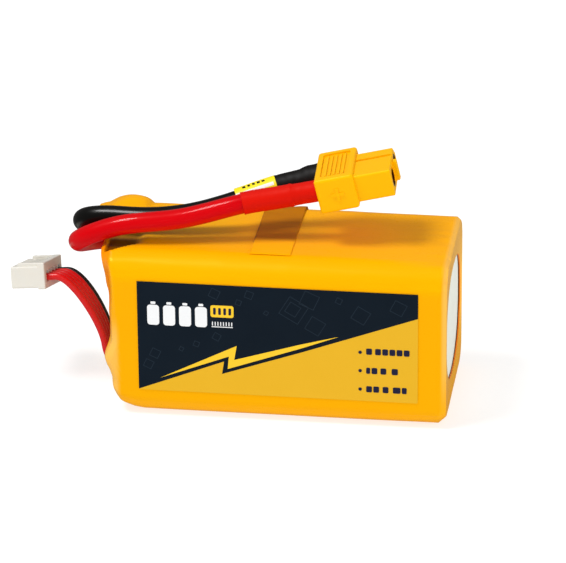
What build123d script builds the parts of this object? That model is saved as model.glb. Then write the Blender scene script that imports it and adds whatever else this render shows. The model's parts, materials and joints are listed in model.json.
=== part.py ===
from build123d import *
import math
import os

# Four-cell lithium polymer pack, millimetres.
# X runs along the pack, Y away from the labelled face, Z up.
# The origin is the centre of the bottom face.

# pack outside
PACK_LENGTH = 77.0
PACK_WIDTH = 37.5
PACK_HEIGHT = 38.5
FILM = 0.3
CORNER_RADIUS = 6.5
LIP_RADIUS = 2.0

# film openings at the two ends
OPENING_WIDTH = 26.0
OPENING_BOTTOM = 5.4
OPENING_TOP = 33.6
OPENING_RADIUS = 9.0

# cells, stacked from the top (1) to the bottom (4)
CELLS = 4
CELL_THICKNESS = 8.7
CELL_WIDTH = 35.4
CELL_LEFT = -30.5
CELL_RIGHT = 36.0
CELL_RADIUS = 3.6
CELL_END_RADIUS = 1.0
LAMINATE = 0.15
BOND = 0.4
PAD = 0.8
FIRST_CELL_TOP = 37.25
CELL_PITCH = CELL_THICKNESS + BOND

# cell tabs
TAB_Y = 9.0
TAB_WIDTH = 8.0
TAB_THICKNESS = 0.2
TAB_INNER = -28.0
TAB_OUTER = -36.1
TERRACE_LEFT = -33.5
TERRACE_WIDTH = 30.0
TERRACE_THICKNESS = 0.6
SEALANT_THICKNESS = 0.4
SEALANT_WIDTH = 9.4
SEALANT_LEFT = -33.9

# tab board at the left end
BOARD_OUTER = -35.4
BOARD_THICKNESS = 1.0
BOARD_WIDTH = 31.0
BOARD_BOTTOM = 3.4
BOARD_TOP = 34.9
COPPER = 0.3
SLOT_GAP = 0.1

# main leads
LEAD_RADIUS = 2.25
CORE_RADIUS = 1.2
LEAD_EXIT_Z = 30.0
POSITIVE_EXIT_Y = 5.5
NEGATIVE_EXIT_Y = 12.0
SLEEVE_GAP = 0.05
SLEEVE_WALL = 0.3
FLEX_START = 0.51
FLEX_END = 0.61
BEND_REACH = 7.4
ROOT_OUTER_SHARE = 0.62
POSITIVE_SLEEVE_START = 0.68
NEGATIVE_SLEEVE_START = 0.82
TAG_START = 0.635
TAG_END = 0.815
TAG_THICKNESS = 0.2

# two-pole plug, local frame: x to the mating face, y from positive to negative, z up
PLUG_ORIGIN = (7.9, 0.0, 50.6)
PLUG_AXIS = (0.974, 0.047, 0.223)
PLUG_UP = (-0.2215, -0.0352, 0.9745)
PLUG_BODY_LENGTH = 8.9
PLUG_WIDTH = 16.0
PLUG_THICKNESS = 8.2
NOSE_LENGTH = 8.2
NOSE_WIDTH = 14.2
NOSE_THICKNESS = 6.4
POLE_Y = 3.6
SOCKET_BORE = 1.75
SOCKET_OUTER = 2.25
SOCKET_DEPTH = 12.0
CUP_OUTER = 2.15
CUP_INNER = 1.8
CUP_LEFT = -2.5
JACKET_END = -3.0

# five-way balance plug, local frame: x to the mating face, z up
BALANCE_ORIGIN = (-53.7, 1.4, 25.0)
BALANCE_AXIS = (-0.9927, 0.0538, -0.1113)
BALANCE_UP = (-0.0921, 0.2787, 0.9564)
BALANCE_LENGTH = 8.0
BALANCE_WIDTH = 14.8
BALANCE_THICKNESS = 5.0
BALANCE_WAYS = 5
BALANCE_PITCH = 2.5
BALANCE_WIRE_RADIUS = 0.8
RIBBON_PITCH = 1.7
RIBBON_Y = -0.5
RIBBON_Z = 6.7
RIBBON_ROOT_LEFT = -38.9

# label and band on the film
LABEL = 0.1
LABEL_SIZE = (63.0, 26.6)
LABEL_CENTRE = (0.65, 19.75)
BAND_X = (-6.25, 3.0)


def span_box(x, y, z):
    """A box between two values along each axis."""
    size = (x[1] - x[0], y[1] - y[0], z[1] - z[0])
    centre = Pos((x[0] + x[1]) / 2, (y[0] + y[1]) / 2, (z[0] + z[1]) / 2)
    return centre * Box(*size)


def x_cylinder(radius, x, y, z):
    """A cylinder along X between x[0] and x[1]."""
    centre = Pos((x[0] + x[1]) / 2, y, z)
    return centre * Rot(0, 90, 0) * Cylinder(radius, x[1] - x[0])


def rounded_block(x, width, bottom, height, edge_radius, end_radius):
    """A block along X with rounded long edges and rounded end edges."""
    block = span_box(x, (-width / 2, width / 2), (bottom, bottom + height))
    block = fillet(block.edges().filter_by(Axis.X), edge_radius)
    ends = block.faces().sort_by(Axis.X)
    rims = ends[0].edges() + ends[-1].edges()
    return fillet(rims, end_radius)


def rounded_plate(x, y, z, radius):
    """A plate whose thickness lies along X, with rounded corners."""
    return fillet(span_box(x, y, z).edges().filter_by(Axis.X), radius)


def tube_along(path, outer, inner=0.0):
    """A round rod or tube swept along a path."""
    start = Plane(origin=path @ 0, z_dir=path % 0)
    rod = sweep(start * Circle(outer), path=path)
    if not inner:
        return rod
    return rod - sweep(start * Circle(inner), path=path)


def together(solids):
    """Separate solids that share one node."""
    return Compound(children=[s for part in solids for s in part.solids()])


def film_block(inset):
    """The outside of the film, or the same shape pulled in by inset."""
    return rounded_block(
        (-PACK_LENGTH / 2 + inset, PACK_LENGTH / 2 - inset),
        PACK_WIDTH - 2 * inset,
        inset,
        PACK_HEIGHT - 2 * inset,
        CORNER_RADIUS - inset,
        LIP_RADIUS - inset,
    )


def shrink_sleeve():
    opening = (-OPENING_WIDTH / 2, OPENING_WIDTH / 2)
    sleeve = film_block(0) - film_block(FILM)
    sleeve -= rounded_plate(
        (-PACK_LENGTH, PACK_LENGTH),
        opening,
        (OPENING_BOTTOM, OPENING_TOP),
        OPENING_RADIUS,
    )
    for y in (POSITIVE_EXIT_Y, NEGATIVE_EXIT_Y):
        sleeve -= x_cylinder(LEAD_RADIUS + 0.5, (-PACK_LENGTH, 0), y, LEAD_EXIT_Z + 0.7)
    return sleeve


def face_label():
    x, z = LABEL_CENTRE
    length, height = LABEL_SIZE
    front = -PACK_WIDTH / 2
    plate = span_box(
        (x - length / 2, x + length / 2),
        (front - LABEL, front),
        (z - height / 2, z + height / 2),
    )
    return fillet(plate.edges().filter_by(Axis.Y), 0.4)


def tape_band():
    outside = rounded_block(
        BAND_X,
        PACK_WIDTH + 2 * LABEL,
        -LABEL,
        PACK_HEIGHT + 2 * LABEL,
        CORNER_RADIUS + LABEL,
        0.02,
    )
    above = span_box(BAND_X, (-17.0, 17.0), (PACK_HEIGHT - 5, PACK_HEIGHT + 1))
    return (outside & above) - film_block(0)


def end_card():
    return rounded_plate((36.4, 36.9), (-16.4, 16.4), (2.8, 35.7), 4.5)


def protection_pad(bottom):
    pad = span_box((-29.0, 34.0), (-13.0, 13.0), (bottom, bottom + PAD))
    return fillet(pad.edges().filter_by(Axis.Z), 2.0)


def cell_middle(number):
    return FIRST_CELL_TOP - CELL_THICKNESS / 2 - (number - 1) * CELL_PITCH


def cell_bond_pads():
    pads = []
    for number in range(1, CELLS):
        top = cell_middle(number) - CELL_THICKNESS / 2
        pads.append(span_box((-28.0, 33.0), (-13.0, 13.0), (top - BOND, top)))
    return together(pads)


def tab_sides(number):
    """The Y side of a cell's positive and negative tab: every other cell is flipped."""
    flip = 1 if number % 2 else -1
    return {"positive": -TAB_Y * flip, "negative": TAB_Y * flip}


def across_tab(number, y, x, width, thickness):
    """A strip centred on a cell's tab."""
    z = cell_middle(number)
    return span_box(
        x,
        (y - width / 2, y + width / 2),
        (z - thickness / 2, z + thickness / 2),
    )


def cell_tab(number, pole):
    y = tab_sides(number)[pole]
    return across_tab(number, y, (TAB_OUTER, TAB_INNER), TAB_WIDTH, TAB_THICKNESS)


def sealant_strip(number, pole):
    y = tab_sides(number)[pole]
    x = (SEALANT_LEFT, CELL_LEFT + LAMINATE)
    strip = across_tab(number, y, x, SEALANT_WIDTH, SEALANT_THICKNESS)
    return strip - cell_tab(number, pole)


def tab_sealant_strips():
    poles = ("positive", "negative")
    return together([sealant_strip(n, p) for n in range(1, CELLS + 1) for p in poles])


def cell_block(number, inset):
    bottom = cell_middle(number) - CELL_THICKNESS / 2
    return rounded_block(
        (CELL_LEFT + inset, CELL_RIGHT - inset),
        CELL_WIDTH - 2 * inset,
        bottom + inset,
        CELL_THICKNESS - 2 * inset,
        CELL_RADIUS - inset,
        CELL_END_RADIUS - inset,
    )


def cell_pouch(number):
    """The laminate bag with its sealed terrace, open where the tabs pass."""
    terrace = across_tab(
        number,
        0,
        (TERRACE_LEFT, CELL_LEFT + LAMINATE),
        TERRACE_WIDTH,
        TERRACE_THICKNESS,
    )
    pouch = cell_block(number, 0) + terrace
    pouch -= cell_block(number, LAMINATE)
    x = (SEALANT_LEFT, CELL_LEFT + LAMINATE)
    for y in tab_sides(number).values():
        pouch -= across_tab(number, y, x, SEALANT_WIDTH, SEALANT_THICKNESS)
    return pouch


def electrode_stack(number):
    middle = cell_middle(number)
    thickness = CELL_THICKNESS - 0.5
    return rounded_block(
        (TAB_INNER, CELL_RIGHT - 0.25),
        CELL_WIDTH - 0.6,
        middle - thickness / 2,
        thickness,
        CELL_RADIUS - 0.3,
        CELL_END_RADIUS - 0.3,
    )


def tab_slots(x):
    """Slots for all eight tabs."""
    slots = []
    for number in range(1, CELLS + 1):
        for y in tab_sides(number).values():
            width = TAB_WIDTH + SLOT_GAP
            slots.append(across_tab(number, y, x, width, TAB_THICKNESS + SLOT_GAP))
    return slots


def lead_holes(x, radius):
    exits = (POSITIVE_EXIT_Y, NEGATIVE_EXIT_Y)
    return [x_cylinder(radius, x, y, LEAD_EXIT_Z) for y in exits]


def tab_board():
    x = (BOARD_OUTER, BOARD_OUTER + BOARD_THICKNESS)
    half = BOARD_WIDTH / 2
    board = rounded_plate(x, (-half, half), (BOARD_BOTTOM, BOARD_TOP), 3.0)
    for hole in tab_slots(x) + lead_holes(x, CORE_RADIUS + 0.2):
        board -= hole
    return board


def outer_copper(y, z):
    return span_box((BOARD_OUTER - COPPER, BOARD_OUTER), y, z)


def series_links():
    """Copper on the outer side, joining each cell's positive to the next cell's negative."""
    links = []
    for number in range(1, CELLS):
        y = tab_sides(number)["positive"]
        z = (cell_middle(number + 1) - 0.8, cell_middle(number) + 0.8)
        link = outer_copper((y - 4.0 - 0.1, y + 4.0 + 0.1), z)
        for slot in tab_slots((BOARD_OUTER - COPPER, BOARD_OUTER)):
            link -= slot
        links.append(link)
    return together(links)


def pack_terminal_pads():
    """Negative copper on the outer side of the board, positive copper on the inner side."""
    x = (BOARD_OUTER - COPPER, BOARD_OUTER)
    top = cell_middle(1)
    negative = outer_copper((4.9, 13.1), (top - 0.7, top + 0.7))
    negative += outer_copper((9.8, 14.2), (27.8, top + 0.7))
    ring = x_cylinder(2.1, x, POSITIVE_EXIT_Y, LEAD_EXIT_Z)
    inner = BOARD_OUTER + BOARD_THICKNESS
    inner_x = (inner, inner + COPPER)
    bottom = cell_middle(CELLS)
    positive = span_box(inner_x, (0.6, 13.1), (bottom - 0.7, bottom + 0.7))
    positive += span_box(inner_x, (0.6, 4.2), (bottom - 0.7, 31.6))
    positive += span_box(inner_x, (0.6, 7.4), (28.0, 31.6))
    pads = [negative, ring, positive]
    both = (x[0], inner_x[1])
    for hole in tab_slots(both) + lead_holes(both, CORE_RADIUS + 0.1):
        pads = [pad - hole for pad in pads]
    return together(pads)


def lead_solder_joints():
    face = BOARD_OUTER - COPPER
    joints = []
    for y in (POSITIVE_EXIT_Y, NEGATIVE_EXIT_Y):
        cone = Cone(2.0, 1.5, 1.1)
        cone = Pos(face - 0.55, y, LEAD_EXIT_Z) * Rot(0, -90, 0) * cone
        joints.append(cone - tube_along(root_path(y), CORE_RADIUS))
    return together(joints)


def ribbon_ys():
    middle = (BALANCE_WAYS - 1) / 2
    return [RIBBON_Y + (n - middle) * RIBBON_PITCH for n in range(BALANCE_WAYS)]


def balance_solder_joints():
    cone = Rot(0, -90, 0) * Cone(0.8, 0.5, 1.2)
    return together([Pos(BOARD_OUTER - 0.6, y, RIBBON_Z) * cone for y in ribbon_ys()])


def tab_insulator():
    """Fibre paper over the board, cut out for the leads and the ribbon."""
    x = (-37.5, -37.3)
    sheet = rounded_plate(x, (-12.6, 14.6), (4.4, 34.2), 3.0)
    for y in (POSITIVE_EXIT_Y, NEGATIVE_EXIT_Y):
        sheet -= x_cylinder(LEAD_RADIUS + 0.4, x, y, LEAD_EXIT_Z + 0.4)
    ys = ribbon_ys()
    z = (RIBBON_Z - 1.1, RIBBON_Z + 1.1)
    return sheet - span_box(x, (ys[0] - 1.1, ys[-1] + 1.1), z)


def direction(dx, dy, dz):
    return Vector(dx, dy, dz).normalized()


ROOT_DIRECTION = direction(-1, 0, 0.1)


def root_path(y):
    """From the board out through the film's end."""
    start = Vector(-33.9, y, LEAD_EXIT_Z)
    end = Vector(-39.2, y, LEAD_EXIT_Z + 0.9)
    return Bezier(start, start - Vector(3.0, 0, 0), end - ROOT_DIRECTION * 1.2, end)


def plug_point(x, y, z):
    plane = Plane(origin=PLUG_ORIGIN, x_dir=PLUG_AXIS, z_dir=PLUG_UP)
    return plane.from_local_coords(Vector(x, y, z))


def upper_paths():
    """The runs of the two leads over the pack, from the bend to the plug."""
    axis = Vector(*PLUG_AXIS).normalized()
    positive = Spline(
        (-42.6, -9.6, 39.9),
        (-35.6, -9.6, 42.45),
        (-23.4, -8.3, 43.9),
        (-9.0, -5.7, 47.3),
        plug_point(JACKET_END, -POLE_Y, 0),
        tangents=(direction(0.93, 0.05, 0.41), axis),
    )
    negative = Spline(
        (-42.6, -2.3, 41.35),
        (-34.2, -3.4, 41.9),
        (-22.0, -2.9, 43.0),
        (-7.2, 0.6, 46.95),
        plug_point(JACKET_END, POLE_Y, 0),
        tangents=(direction(1, 0, 0.11), axis),
    )
    return {"positive": positive, "negative": negative}


def bend_path(y, upper):
    """The loop that turns a lead back over the pack."""
    start = root_path(y) @ 1
    end = upper @ 0
    first = start + ROOT_DIRECTION * BEND_REACH
    last = end - (upper % 0) * BEND_REACH
    return Bezier(start, first, last, end)


def plug_place():
    return Plane(origin=PLUG_ORIGIN, x_dir=PLUG_AXIS, z_dir=PLUG_UP).location


def heatshrink(path, start):
    """A sleeve over the wire and on over the solder cup."""
    last = path.trim(start, 1.0)
    bore = LEAD_RADIUS + SLEEVE_GAP
    over_lead = tube_along(last, bore + SLEEVE_WALL, bore)
    side = -POLE_Y if (path @ 1).Y < 0 else POLE_Y
    cup_bore = CUP_OUTER + SLEEVE_GAP
    over_cup = x_cylinder(cup_bore + SLEEVE_WALL, (JACKET_END, -0.15), side, 0)
    over_cup -= x_cylinder(cup_bore, (JACKET_END, -0.15), side, 0)
    return over_lead + plug_place() * over_cup


def plug_core(side):
    """Bare strands between the jacket and the bottom of the solder cup."""
    return plug_place() * x_cylinder(CORE_RADIUS, (JACKET_END, 3.0), side, 0)


def socket_contact(side):
    front = PLUG_BODY_LENGTH + NOSE_LENGTH
    tube = x_cylinder(SOCKET_OUTER, (3.6, front), side, 0)
    tube -= x_cylinder(SOCKET_BORE, (front - SOCKET_DEPTH, front), side, 0)
    cup = x_cylinder(CUP_OUTER, (CUP_LEFT, 3.6), side, 0)
    cup -= x_cylinder(CUP_INNER, (CUP_LEFT, 3.1), side, 0)
    return plug_place() * (tube + cup)


def plug_solder():
    fills = []
    for side in (-POLE_Y, POLE_Y):
        fill = x_cylinder(CUP_INNER - 0.01, (CUP_LEFT + 0.2, 3.05), side, 0)
        fills.append(fill - x_cylinder(CORE_RADIUS + 0.01, (CUP_LEFT, 3.01), side, 0))
    return plug_place() * together(fills)


def plug_nose():
    """The keyed front of the plug: the negative side has its corners cut."""
    front = PLUG_BODY_LENGTH + NOSE_LENGTH
    half_width = NOSE_WIDTH / 2
    half = NOSE_THICKNESS / 2
    nose = span_box((PLUG_BODY_LENGTH, front), (-half_width, half_width), (-half, half))
    long_edges = nose.edges().filter_by(Axis.X)
    nose = chamfer(long_edges.group_by(Axis.Y)[-1], 1.9)
    nose = fillet(nose.edges().filter_by(Axis.X).group_by(Axis.Y)[0], 0.5)
    for z in (-half, half):
        nose -= span_box((PLUG_BODY_LENGTH, front), (1.0, 1.9), (z - 0.4, z + 0.4))
    nose = fillet(nose.faces().sort_by(Axis.X)[-1].edges(), 0.25)
    tongue = span_box((front - 0.5, front + 1.0), (-0.75, 0.75), (-2.3, 2.3))
    return nose + fillet(tongue.faces().sort_by(Axis.X)[-1].edges(), 0.25)


def grip_ribs(z, outward):
    """A recessed panel with ribs on a wide face of the plug."""
    recess = span_box((1.4, 7.6), (-6.2, 6.2), (z - 0.45, z + 0.45))
    recess = fillet(recess.edges().filter_by(Axis.Z), 0.6)
    levels = sorted((z - 0.6 * outward, z - 0.15 * outward))
    ribs = [span_box((2.3 + n, 2.7 + n), (-5.5, 5.5), levels) for n in range(5)]
    return recess, ribs


def plus_mark(y):
    """A raised plus on the positive side."""
    bar = span_box((3.2, 6.2), (y - 0.2, y), (-0.35, 0.35))
    return bar + span_box((4.35, 5.05), (y - 0.2, y), (-1.5, 1.5))


def minus_mark(y):
    return span_box((3.2, 6.2), (y, y + 0.2), (-0.35, 0.35))


def plug_housing():
    half_width = PLUG_WIDTH / 2
    half = PLUG_THICKNESS / 2
    body = span_box((0, PLUG_BODY_LENGTH), (-half_width, half_width), (-half, half))
    body = fillet(body.edges(), 0.7)
    for outward in (-1, 1):
        recess, ribs = grip_ribs(half * outward, outward)
        body -= recess
        for rib in ribs:
            body += rib
    body += plus_mark(-half_width) + minus_mark(half_width)
    housing = body + plug_nose()
    front = PLUG_BODY_LENGTH + NOSE_LENGTH
    for side in (-POLE_Y, POLE_Y):
        housing -= x_cylinder(SOCKET_OUTER + 0.02, (-1, front + 2), side, 0)
    return plug_place() * housing


def balance_place():
    return Plane(origin=BALANCE_ORIGIN, x_dir=BALANCE_AXIS, z_dir=BALANCE_UP).location


def way_ys():
    """Local Y of the five ways, from the face nearest the front of the pack."""
    middle = (BALANCE_WAYS - 1) / 2
    return [(middle - n) * BALANCE_PITCH for n in range(BALANCE_WAYS)]


def balance_housing():
    half_width = BALANCE_WIDTH / 2
    half = BALANCE_THICKNESS / 2
    housing = span_box((0, BALANCE_LENGTH), (-half_width, half_width), (-half, half))
    housing = fillet(housing.edges(), 0.4)
    flange = span_box((0, 1.8), (-half_width, half_width), (-half - 0.35, half + 0.75))
    housing += fillet(flange.edges(), 0.3)
    for y in (-half_width + 1.0, half_width - 1.0):
        rib = span_box((0.5, 6.4), (y - 0.55, y + 0.55), (half - 0.5, half + 0.75))
        housing += fillet(rib.faces().sort_by(Axis.Z)[-1].edges(), 0.2)
    for y in way_ys():
        housing -= span_box((-1, BALANCE_LENGTH + 1), (y - 0.95, y + 0.95), (-1.3, 1.3))
        housing -= span_box((3.2, 5.4), (y - 0.6, y + 0.6), (0, half + 1))
    return balance_place() * housing


def balance_terminals():
    terminals = []
    for y in way_ys():
        box = span_box((2.6, 7.6), (y - 0.85, y + 0.85), (-1.2, 0.9))
        box -= span_box((2.6, 7.6), (y - 0.65, y + 0.65), (-1.0, 0.7))
        strip = span_box((0.4, 2.7), (y - 0.6, y + 0.6), (-1.2, -1.0))
        terminals.append(box + strip)
    return balance_place() * together(terminals)


def ribbon_paths(way):
    """Root, bend and free run of one balance wire; way 0 is nearest the labelled face."""
    place = Plane(origin=BALANCE_ORIGIN, x_dir=BALANCE_AXIS, z_dir=BALANCE_UP)
    y = ribbon_ys()[way]
    plug_end = place.from_local_coords(Vector(2.2, way_ys()[way], 0))
    plug_mouth = place.from_local_coords(Vector(-0.8, way_ys()[way], 0))
    back = Vector(*BALANCE_AXIS).normalized() * -1
    root_end = Vector(RIBBON_ROOT_LEFT, y, RIBBON_Z)
    bend_end = Vector(-42.0, y, 10.6)
    root = Line((BOARD_OUTER - 1.2, y, RIBBON_Z), root_end)
    up = direction(-0.16, 0, 1)
    bend = Bezier(root_end, root_end - Vector(1.9, 0, 0), bend_end - up * 2.0, bend_end)
    run = Bezier(bend_end, bend_end + up * 8.0, plug_mouth + back * 6.0, plug_mouth)
    tail = Line(plug_mouth, plug_end)
    return {"root": root, "bend": bend, "run": run, "tail": tail}


def ribbon_part(ways, names):
    wires = []
    for way in ways:
        paths = ribbon_paths(way)
        rods = [tube_along(paths[name], BALANCE_WIRE_RADIUS) for name in names]
        wire = rods[0]
        for rod in rods[1:]:
            wire += rod
        wires.append(wire)
    return together(wires)


def pack_nodes():
    nodes = {
        "shrink_sleeve": shrink_sleeve(),
        "face_label": face_label(),
        "tape_band": tape_band(),
        "end_card": end_card(),
        "top_pad": protection_pad(FIRST_CELL_TOP),
        "bottom_pad": protection_pad(cell_middle(CELLS) - CELL_THICKNESS / 2 - PAD),
        "cell_bond_pads": cell_bond_pads(),
        "tab_sealant_strips": tab_sealant_strips(),
        "tab_board": tab_board(),
        "series_links": series_links(),
        "pack_terminal_pads": pack_terminal_pads(),
        "lead_solder_joints": lead_solder_joints(),
        "balance_solder_joints": balance_solder_joints(),
        "tab_insulator": tab_insulator(),
    }
    for number in range(1, CELLS + 1):
        nodes[f"cell_{number}_pouch"] = cell_pouch(number)
        nodes[f"cell_{number}_electrode_stack"] = electrode_stack(number)
        nodes[f"cell_{number}_positive_tab"] = cell_tab(number, "positive")
        nodes[f"cell_{number}_negative_tab"] = cell_tab(number, "negative")
    return nodes


def lead_nodes():
    """Both main leads, split where they flex."""
    nodes = {}
    root_cores = []
    run_cores = []
    tail_cores = []
    for pole, upper in upper_paths().items():
        side = -POLE_Y if pole == "positive" else POLE_Y
        exit_y = POSITIVE_EXIT_Y if pole == "positive" else NEGATIVE_EXIT_Y
        root = root_path(exit_y)
        run = upper.trim(0.0, FLEX_START)
        flex = upper.trim(FLEX_START, FLEX_END)
        tail = upper.trim(FLEX_END, 1.0)
        outer = root.trim(ROOT_OUTER_SHARE, 1.0)
        nodes[f"{pole}_lead_root"] = tube_along(outer, LEAD_RADIUS, CORE_RADIUS)
        nodes[f"{pole}_lead_bend"] = tube_along(bend_path(exit_y, upper), LEAD_RADIUS)
        nodes[f"{pole}_lead_jacket"] = tube_along(run, LEAD_RADIUS, CORE_RADIUS)
        nodes[f"{pole}_lead_flex"] = tube_along(flex, LEAD_RADIUS)
        nodes[f"{pole}_lead_tail"] = tube_along(tail, LEAD_RADIUS, CORE_RADIUS)
        nodes[f"{pole}_socket"] = socket_contact(side)
        root_cores.append(tube_along(root, CORE_RADIUS - 0.01))
        run_cores.append(tube_along(run, CORE_RADIUS - 0.01))
        tail_cores.append(tube_along(tail, CORE_RADIUS - 0.01) + plug_core(side))
    nodes["lead_core_roots"] = together(root_cores)
    nodes["lead_cores"] = together(run_cores)
    nodes["lead_core_tails"] = together(tail_cores)
    nodes["positive_heatshrink"] = heatshrink(upper_paths()["positive"], POSITIVE_SLEEVE_START)
    nodes["negative_heatshrink"] = heatshrink(upper_paths()["negative"], NEGATIVE_SLEEVE_START)
    tag_path = upper_paths()["negative"].trim(TAG_START, TAG_END)
    bore = LEAD_RADIUS + SLEEVE_GAP
    nodes["negative_lead_tag"] = tube_along(tag_path, bore + TAG_THICKNESS, bore)
    nodes["plug_housing"] = plug_housing()
    nodes["plug_solder"] = plug_solder()
    return nodes


def balance_nodes():
    red_ways = range(BALANCE_WAYS - 1)
    black_way = [BALANCE_WAYS - 1]
    return {
        "balance_red_roots": ribbon_part(red_ways, ["root"]),
        "balance_black_root": ribbon_part(black_way, ["root"]),
        "balance_red_bends": ribbon_part(red_ways, ["bend"]),
        "balance_black_bend": ribbon_part(black_way, ["bend"]),
        "balance_red_wires": ribbon_part(red_ways, ["run", "tail"]),
        "balance_black_wire": ribbon_part(black_way, ["run", "tail"]),
        "balance_housing": balance_housing(),
        "balance_terminals": balance_terminals(),
    }


os.makedirs("parts", exist_ok=True)
all_nodes = {**pack_nodes(), **lead_nodes(), **balance_nodes()}
for name, shape in all_nodes.items():
    export_step(shape, f"parts/{name}.step")
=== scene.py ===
import json
import math

import bpy
from mathutils import Matrix, Vector, kdtree, noise


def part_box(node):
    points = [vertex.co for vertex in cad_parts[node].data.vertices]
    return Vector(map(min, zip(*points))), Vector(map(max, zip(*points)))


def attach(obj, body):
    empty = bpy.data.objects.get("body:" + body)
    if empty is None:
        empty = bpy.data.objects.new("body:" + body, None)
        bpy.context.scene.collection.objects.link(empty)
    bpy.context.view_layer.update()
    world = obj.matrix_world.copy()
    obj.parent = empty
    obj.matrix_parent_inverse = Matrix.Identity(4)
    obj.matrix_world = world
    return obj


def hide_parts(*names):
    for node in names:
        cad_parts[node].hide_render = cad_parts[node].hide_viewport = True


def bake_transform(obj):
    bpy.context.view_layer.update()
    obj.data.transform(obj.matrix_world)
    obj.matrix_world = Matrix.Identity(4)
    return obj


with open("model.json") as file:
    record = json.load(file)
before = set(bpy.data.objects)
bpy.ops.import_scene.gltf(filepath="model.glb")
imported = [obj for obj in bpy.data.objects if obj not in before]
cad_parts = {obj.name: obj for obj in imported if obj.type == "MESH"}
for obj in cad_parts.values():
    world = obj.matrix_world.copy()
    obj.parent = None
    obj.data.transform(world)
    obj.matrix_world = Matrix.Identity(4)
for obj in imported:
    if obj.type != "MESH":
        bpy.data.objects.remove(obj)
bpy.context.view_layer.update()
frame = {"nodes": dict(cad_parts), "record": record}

MM = 0.001


# ---------------- materials

def linear(r, g, b):
    """Linear colour from display values between 0 and 255."""
    def channel(v):
        v /= 255
        return v / 12.92 if v <= 0.04045 else ((v + 0.055) / 1.055) ** 2.4
    return (channel(r), channel(g), channel(b), 1.0)


class Nodes:
    """A short way to lay out one material's nodes."""

    def __init__(self, name):
        self.material = bpy.data.materials.new(name)
        self.material.use_nodes = True
        self.tree = self.material.node_tree
        self.shader = self.tree.nodes["Principled BSDF"]
        place = self.add("ShaderNodeTexCoord")
        self.place = place.outputs["Object"]

    def add(self, kind, **values):
        node = self.tree.nodes.new(kind)
        for key, value in values.items():
            setattr(node, key, value)
        return node

    def link(self, source, target):
        self.tree.links.new(source, target)

    def noise(self, scale, detail=3.0, stretch=(1, 1, 1)):
        mapping = self.add("ShaderNodeMapping")
        mapping.inputs["Scale"].default_value = stretch
        self.link(self.place, mapping.inputs["Vector"])
        node = self.add("ShaderNodeTexNoise")
        node.inputs["Scale"].default_value = scale
        node.inputs["Detail"].default_value = detail
        self.link(mapping.outputs["Vector"], node.inputs["Vector"])
        return node.outputs["Fac"]

    def spread(self, factor, low, high):
        node = self.add("ShaderNodeMapRange")
        node.inputs["To Min"].default_value = low
        node.inputs["To Max"].default_value = high
        self.link(factor, node.inputs["Value"])
        return node.outputs["Result"]

    def mix(self, factor, a, b):
        node = self.add("ShaderNodeMix", data_type="RGBA")
        self.link(factor, node.inputs["Factor"])
        for value, socket in ((a, node.inputs[6]), (b, node.inputs[7])):
            if isinstance(value, tuple):
                socket.default_value = value
            else:
                self.link(value, socket)
        return node.outputs[2]

    def bump(self, height, distance, strength=1.0, under=None):
        node = self.add("ShaderNodeBump")
        node.inputs["Distance"].default_value = distance
        node.inputs["Strength"].default_value = strength
        self.link(height, node.inputs["Height"])
        if under is not None:
            self.link(under, node.inputs["Normal"])
        return node.outputs["Normal"]

    def set(self, **values):
        for key, value in values.items():
            socket = self.shader.inputs[key.replace("_", " ")]
            if isinstance(value, (int, float, tuple)):
                socket.default_value = value
            else:
                self.link(value, socket)


def surface(name, colour, other, roughness, bump=0.02, scale=900.0, **more):
    """A material whose colour, roughness and fine relief all vary a little."""
    n = Nodes(name)
    broad = n.noise(scale * 0.12, 2.0)
    fine = n.noise(scale, 4.0)
    n.set(
        Base_Color=n.mix(n.spread(broad, 0.0, 1.0), linear(*colour), linear(*other)),
        Roughness=n.spread(fine, roughness - 0.05, roughness + 0.07),
        Normal=n.bump(fine, bump * MM),
        **more,
    )
    return n.material


FILM_YELLOW = (0.93, 0.425, 0.0, 1.0)
FILM_YELLOW_DEEP = (0.95, 0.405, 0.0, 1.0)


def film_material():
    """Glossy film, with painted shade and a painted sheen mixed in from a colour attribute on its mesh."""
    n = Nodes("yellow_film")
    broad = n.noise(60, 3.0)
    creases = n.noise(420, 4.0, (0.25, 1, 1))
    fine = n.noise(2600, 2.0)
    plain = n.mix(n.spread(broad, 0.0, 1.0), FILM_YELLOW, FILM_YELLOW_DEEP)
    painted_light = n.add("ShaderNodeAttribute", attribute_name="painted_light")
    colour = n.mix(painted_light.outputs["Alpha"], plain, painted_light.outputs["Color"])
    relief = n.bump(creases, 0.03 * MM)
    n.set(
        Base_Color=colour,
        Roughness=n.spread(fine, 0.24, 0.34),
        Normal=n.bump(fine, 0.003 * MM, 1.0, relief),
        Specular_IOR_Level=0.36,
        Specular_Tint=(1.0, 0.66, 0.08, 1.0),
    )
    return n.material


# the tape turns from amber to brown between these two places along y, where the leads' cast shadow begins;
# the brown is painted shade over that shadow and carries on to the tape's back end
TAPE_SHADE = (-6.4 * MM, -3.6 * MM)
TAPE_AMBER = (0.93, 0.41, 0.0, 1.0)
TAPE_DARK = (0.42, 0.13, 0.0, 1.0)
TAPE_BROWN = (0.52, 0.18, 0.0, 1.0)


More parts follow.
